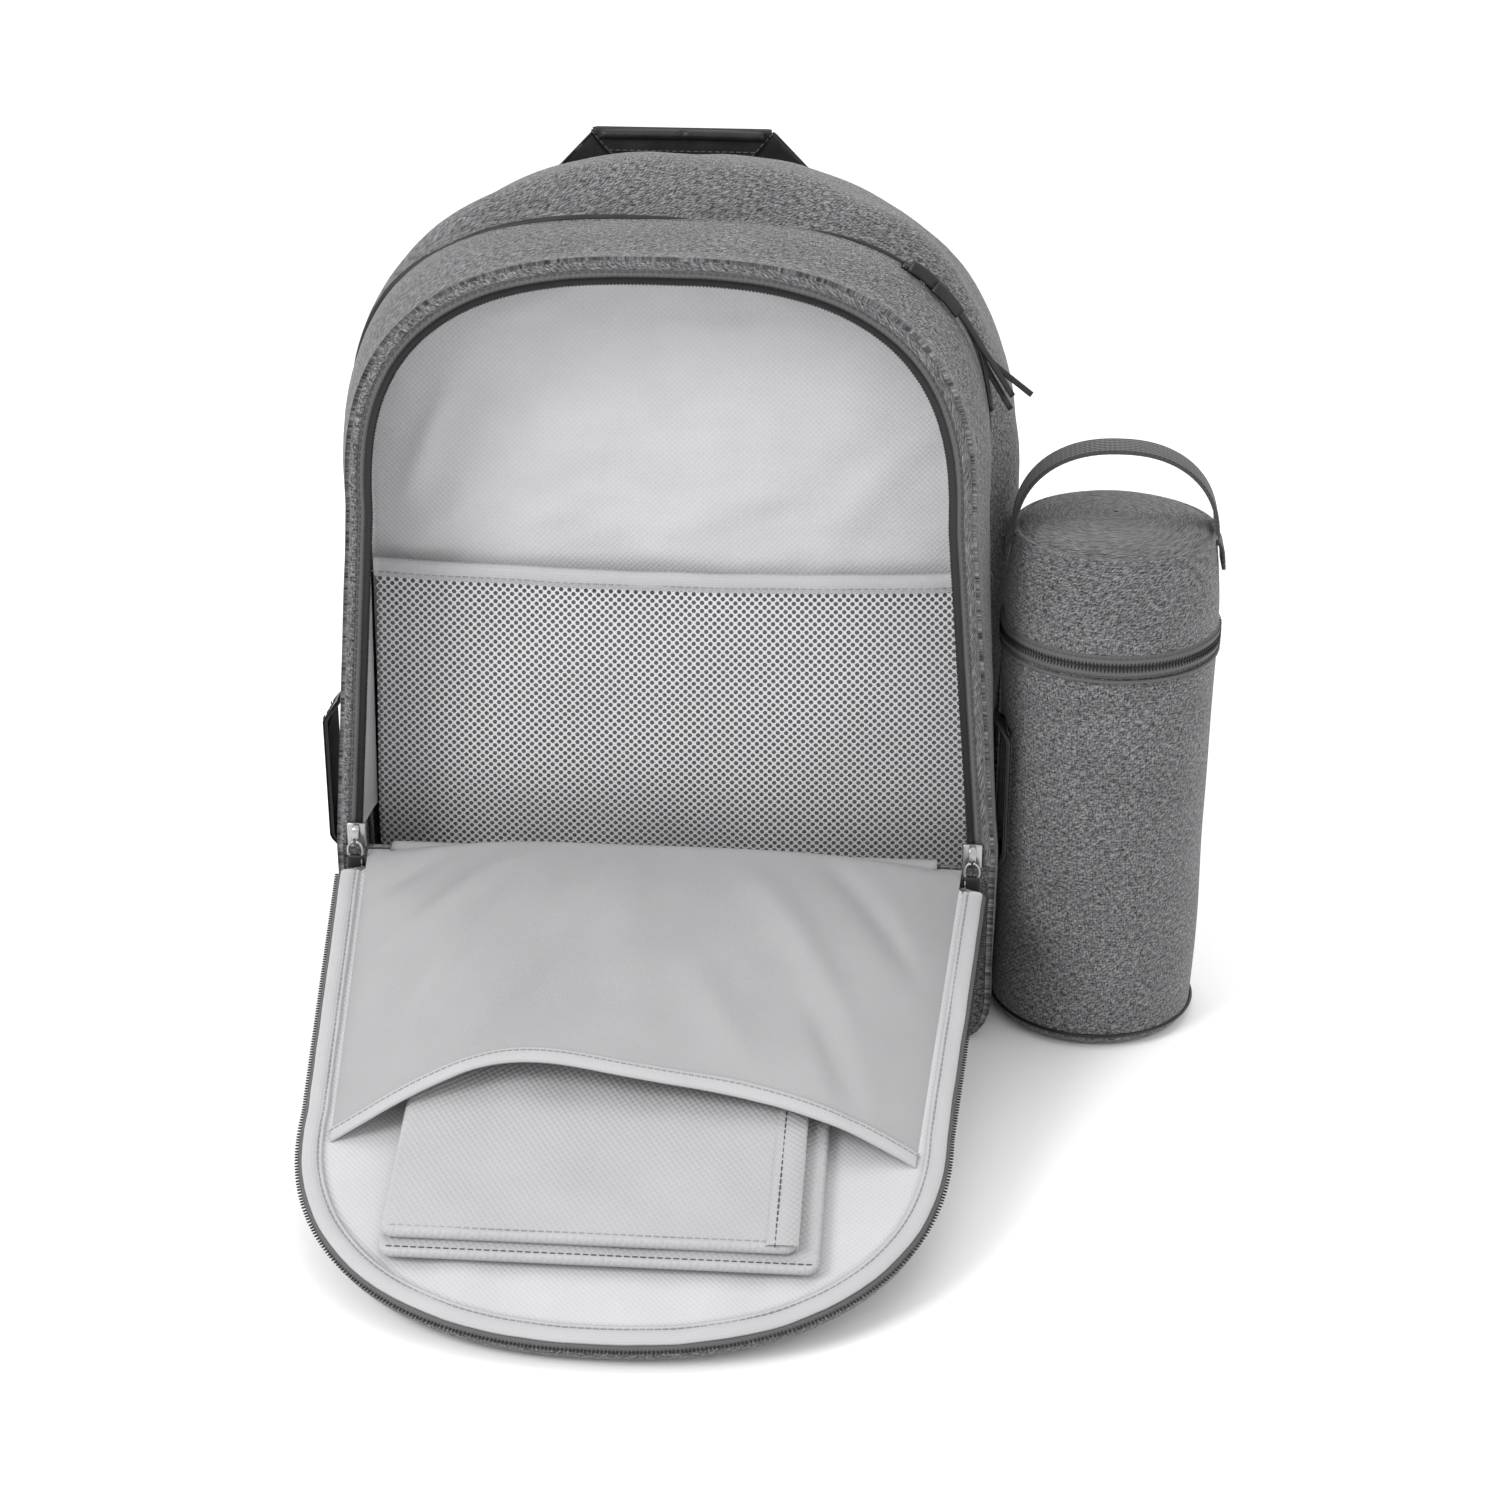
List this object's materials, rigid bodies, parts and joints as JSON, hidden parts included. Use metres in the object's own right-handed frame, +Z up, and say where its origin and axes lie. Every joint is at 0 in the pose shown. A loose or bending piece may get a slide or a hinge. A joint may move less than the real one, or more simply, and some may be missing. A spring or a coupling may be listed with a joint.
{
  "type": "backpack diaper bag",
  "caption": "Grey backpack diaper bag with its padded front flap unzipped and folded down, showing a mesh pocket, a changing pad in the flap pocket and a matching insulated bottle pouch",
  "frame": {"origin": "centre of the bag's base, on the ground it stands on", "axes": "X to the bag's right seen from the front, Y from the front to the back, Z up"},
  "size_m": [0.405, 0.4258, 0.3945],
  "materials": {
    "melange_canvas": "grey melange plain-weave canvas",
    "board": "stiff base board",
    "lining_fabric": "light grey lining",
    "mesh": "light grey open mesh",
    "light_binding": "light grey binding tape",
    "zip_tape": "dark grey woven zip tape",
    "zip_coil": "black nylon coil",
    "foam": "closed-cell foam padding",
    "air_mesh": "padded spacer mesh",
    "black_leather": "smooth black leather",
    "webbing": "dark woven webbing",
    "buckle_plastic": "moulded black acetal",
    "pocket_nylon": "smooth grey nylon",
    "pad_twill": "light grey twill",
    "slider_metal": "satin nickel",
    "dark_metal": "dark plated metal"
  },
  "bodies": {
    "bag": {"base_panel": "melange_canvas", "base_board": "board", "front_wall": "melange_canvas", "front_gusset": "melange_canvas", "front_lining": "lining_fabric", "floor_lining": "lining_fabric", "divider_wall": "lining_fabric", "mesh_pocket": "mesh", "mesh_binding": "light_binding", "front_zip_tape": "zip_tape", "front_zip_coil": "zip_coil", "rear_gusset": "melange_canvas", "rear_zip": "zip_coil", "back_panel": "melange_canvas", "back_foam": "foam", "back_pads": "air_mesh", "strap_yoke": "webbing", "side_pocket_left": "melange_canvas", "side_pocket_right": "melange_canvas", "side_tab_left": "black_leather", "side_tab_right": "black_leather", "strap_anchor_left": "melange_canvas", "strap_anchor_right": "melange_canvas"},
    "handle": {"handle_strap": "black_leather", "handle_grip": "black_leather"},
    "strap_left": {"shoulder_strap_left": "webbing", "ladder_lock_left": "buckle_plastic", "webbing_left": "webbing"},
    "strap_right": {"shoulder_strap_right": "webbing", "ladder_lock_right": "buckle_plastic", "webbing_right": "webbing"},
    "flap": {"flap_shell": "melange_canvas", "flap_foam": "foam", "flap_lining": "lining_fabric", "flap_zip_tape": "zip_tape", "flap_binding": "light_binding", "pocket_panel": "pocket_nylon", "pocket_binding": "light_binding"},
    "changing_pad": {"pad_lower_fold": "pad_twill", "pad_upper_fold": "pad_twill", "pad_binding": "pad_twill"},
    "slider_left": {"zip_slider_left": "slider_metal"},
    "pull_left": {"zip_pull_left": "black_leather"},
    "slider_right": {"zip_slider_right": "slider_metal"},
    "pull_right": {"zip_pull_right": "black_leather"},
    "rear_upper": {"rear_slider_upper": "dark_metal"},
    "rear_upper_pull": {"rear_pull_upper": "black_leather"},
    "rear_lower": {"rear_slider_lower": "dark_metal"},
    "rear_lower_pull": {"rear_pull_lower": "black_leather"},
    "pouch": {"pouch_body": "melange_canvas", "pouch_base": "melange_canvas", "pouch_lining": "lining_fabric", "pouch_zip_lower": "zip_tape"},
    "pouch_top": {"pouch_lid": "melange_canvas", "lid_lining": "lining_fabric", "pouch_zip_upper": "zip_tape"},
    "pouch_strap": {"lid_strap": "webbing"},
    "pouch_zipper": {"pouch_slider": "slider_metal"},
    "pouch_zipper_pull": {"pouch_pull": "black_leather"}
  },
  "joints": [
    {"name": "flap_hinge", "type": "hinge", "parent": "bag", "child": "flap", "pos_m": [0, -0.0695, 0.09], "axis": [1, 0, 0], "range_deg": [-106.5, 0]},
    {"name": "pad_slide", "type": "slide", "parent": "flap", "child": "changing_pad", "axis": [0, -0.9588, -0.284], "range_m": [0, 0.2]},
    {"name": "handle_hinge", "type": "hinge", "parent": "bag", "child": "handle", "pos_m": [0, 0.048, 0.377], "axis": [1, 0, 0], "range_deg": [-95, 40]},
    {"name": "strap_left_hinge", "type": "hinge", "parent": "bag", "child": "strap_left", "pos_m": [-0.045, 0.072, 0.34], "axis": [1, 0, 0], "range_deg": [0, 100]},
    {"name": "strap_right_hinge", "type": "hinge", "parent": "bag", "child": "strap_right", "pos_m": [0.045, 0.072, 0.34], "axis": [1, 0, 0], "range_deg": [0, 100]},
    {"name": "slider_left_slide", "type": "slide", "parent": "bag", "child": "slider_left", "axis": [0.0841, 0, 0.9965], "range_m": [0, 0.15]},
    {"name": "slider_right_slide", "type": "slide", "parent": "bag", "child": "slider_right", "axis": [-0.0841, 0, 0.9965], "range_m": [0, 0.15]},
    {"name": "pull_left_hinge", "type": "hinge", "parent": "slider_left", "child": "pull_left", "pos_m": [-0.1403, -0.0754, 0.093], "axis": [1, 0, 0], "range_deg": [-8, 0]},
    {"name": "pull_right_hinge", "type": "hinge", "parent": "slider_right", "child": "pull_right", "pos_m": [0.1403, -0.0754, 0.093], "axis": [1, 0, 0], "range_deg": [-8, 0]},
    {"name": "rear_upper_slide", "type": "hinge", "parent": "bag", "child": "rear_upper", "pos_m": [0.0586, -0.031, 0.2857], "axis": [0, -1, 0], "range_deg": [0, 15]},
    {"name": "rear_lower_slide", "type": "hinge", "parent": "bag", "child": "rear_lower", "pos_m": [0.0586, -0.031, 0.2857], "axis": [0, -1, 0], "range_deg": [-12, 0]},
    {"name": "rear_upper_pull_hinge", "type": "hinge", "parent": "rear_upper", "child": "rear_upper_pull", "pos_m": [0.10701, -0.032, 0.35484], "axis": [0, -1, 0], "range_deg": [0, 90]},
    {"name": "rear_lower_pull_hinge", "type": "hinge", "parent": "rear_lower", "child": "rear_lower_pull", "pos_m": [0.11723, -0.034, 0.34641], "axis": [0, -1, 0], "range_deg": [0, 90]},
    {"name": "pouch_lift", "type": "slide", "parent": "bag", "child": "pouch", "axis": [0.2873, 0, 0.9578], "range_m": [0, 0.3]},
    {"name": "pouch_lid_hinge", "type": "hinge", "parent": "pouch", "child": "pouch_top", "pos_m": [0.1985, 0.024, 0.19125], "axis": [-1, 0, 0], "range_deg": [0, 110]},
    {"name": "lid_strap_hinge", "type": "hinge", "parent": "pouch_top", "child": "pouch_strap", "pos_m": [0.1985, -0.025, 0.237], "axis": [1, 0, 0], "range_deg": [-45, 45]},
    {"name": "pouch_zip_slide", "type": "hinge", "parent": "pouch", "child": "pouch_zipper", "pos_m": [0.1985, -0.025, 0.186], "axis": [0, 0, 1], "range_deg": [-170, 0]},
    {"name": "pouch_pull_hinge", "type": "hinge", "parent": "pouch_zipper", "child": "pouch_zipper_pull", "pos_m": [0.23757, 0.00778, 0.183], "axis": [0.6428, -0.766, 0], "range_deg": [0, 110]}
  ]
}
